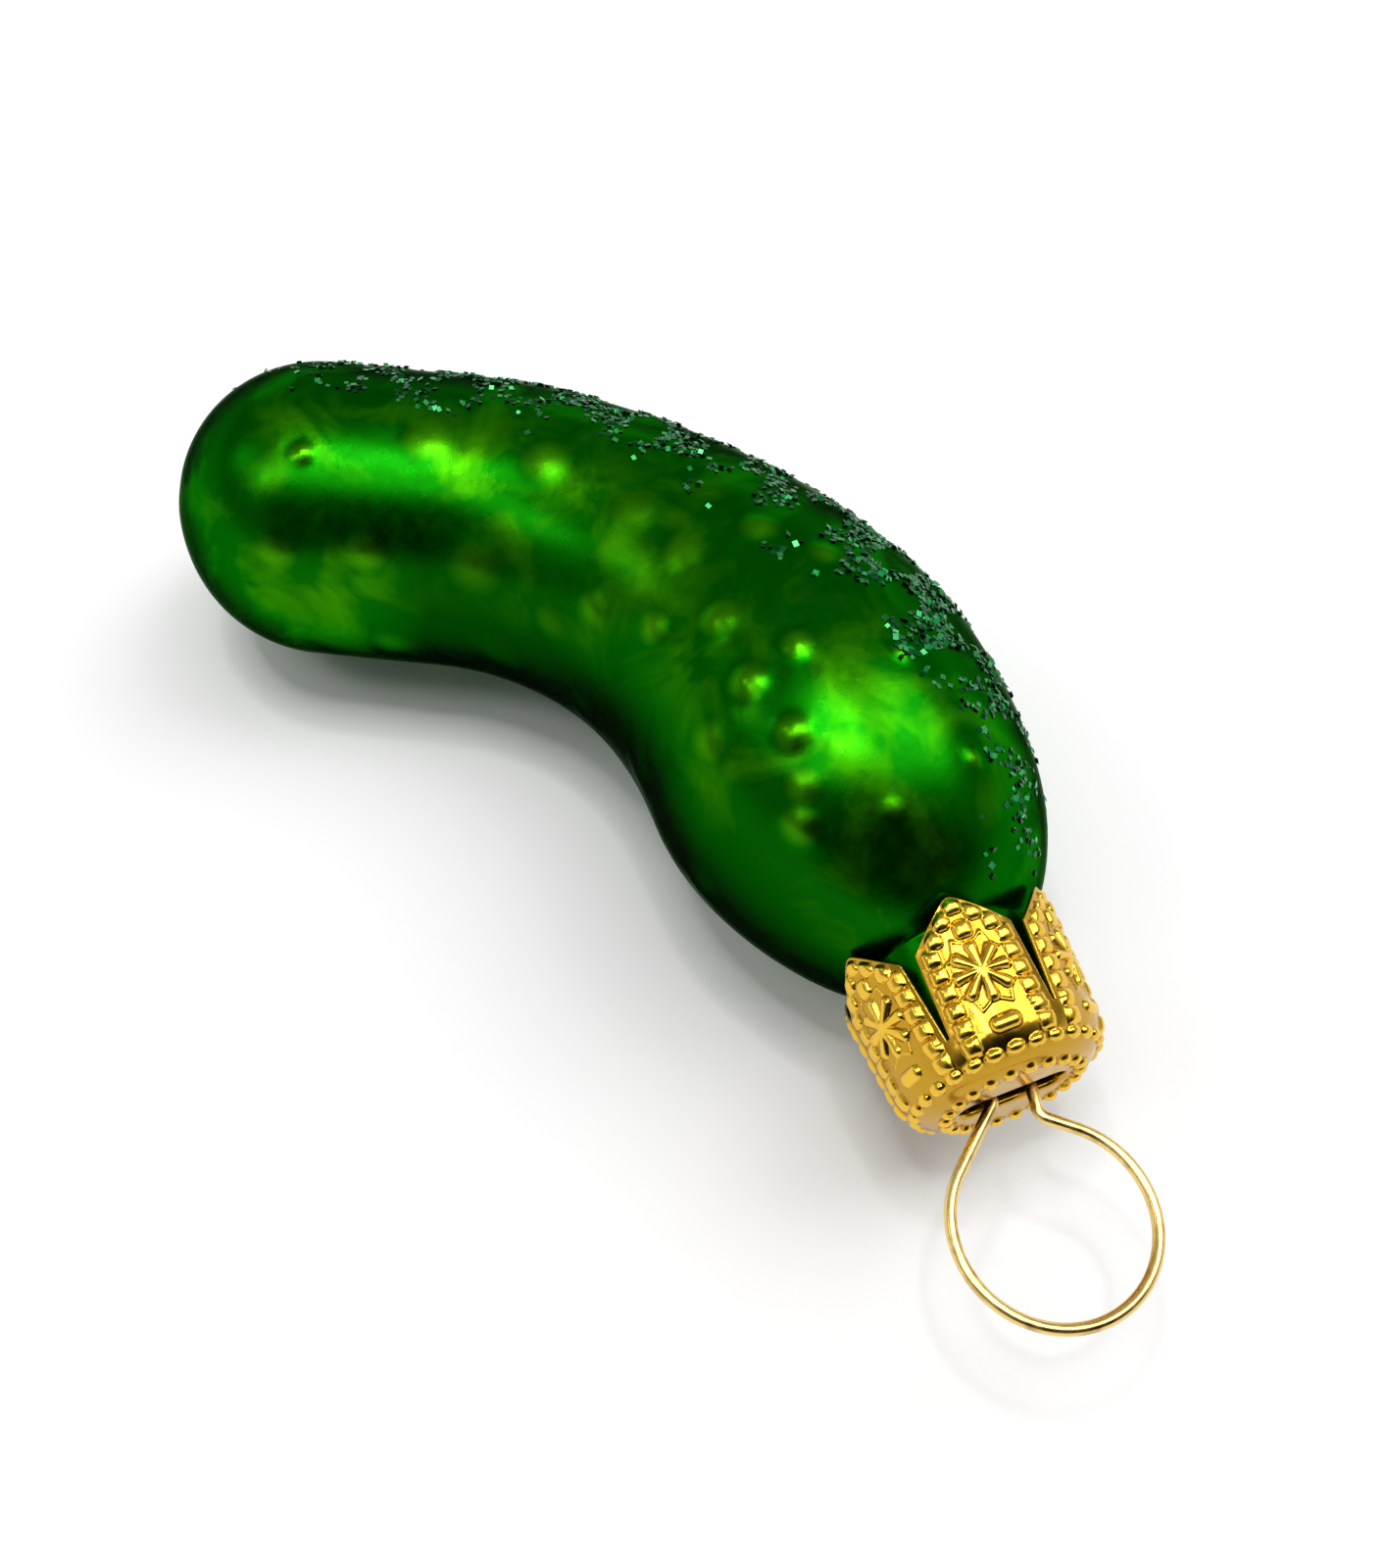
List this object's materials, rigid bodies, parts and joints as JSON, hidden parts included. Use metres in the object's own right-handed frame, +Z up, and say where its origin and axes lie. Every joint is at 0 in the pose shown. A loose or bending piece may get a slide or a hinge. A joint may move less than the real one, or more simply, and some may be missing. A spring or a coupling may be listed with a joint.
{
  "type": "pickle ornament",
  "caption": "Bent hollow glass pickle ornament with a stamped gold crown cap and a spring wire hanging loop whose legs hold the cap on the neck.",
  "frame": {"origin": "on the table the ornament lies on, below the middle of its box", "axes": "+Z up, the neck's axis along Y with the hanger pointing to -Y, the body bending towards -X"},
  "size_m": [0.0464, 0.0792, 0.0235],
  "materials": {
    "lacquered_glass": "satin green lacquer over silvered glass, with dark green glitter",
    "gold_cap": "bright stamped gold",
    "gold_wire": "polished"
  },
  "bodies": {
    "glass": {"glass_body": "lacquered_glass"},
    "cap": {"crown_cap": "gold_cap"},
    "hanger": {"wire_hanger": "gold_wire"}
  },
  "joints": [
    {"name": "cap_pull", "type": "slide", "parent": "glass", "child": "cap", "axis": [0, -1, 0], "range_m": [0, 0.02]},
    {"name": "hanger_swing", "type": "hinge", "parent": "cap", "child": "hanger", "pos_m": [0.01251, -0.02652, 0.01182], "axis": [1, 0, 0], "range_deg": [-12, 12]}
  ]
}
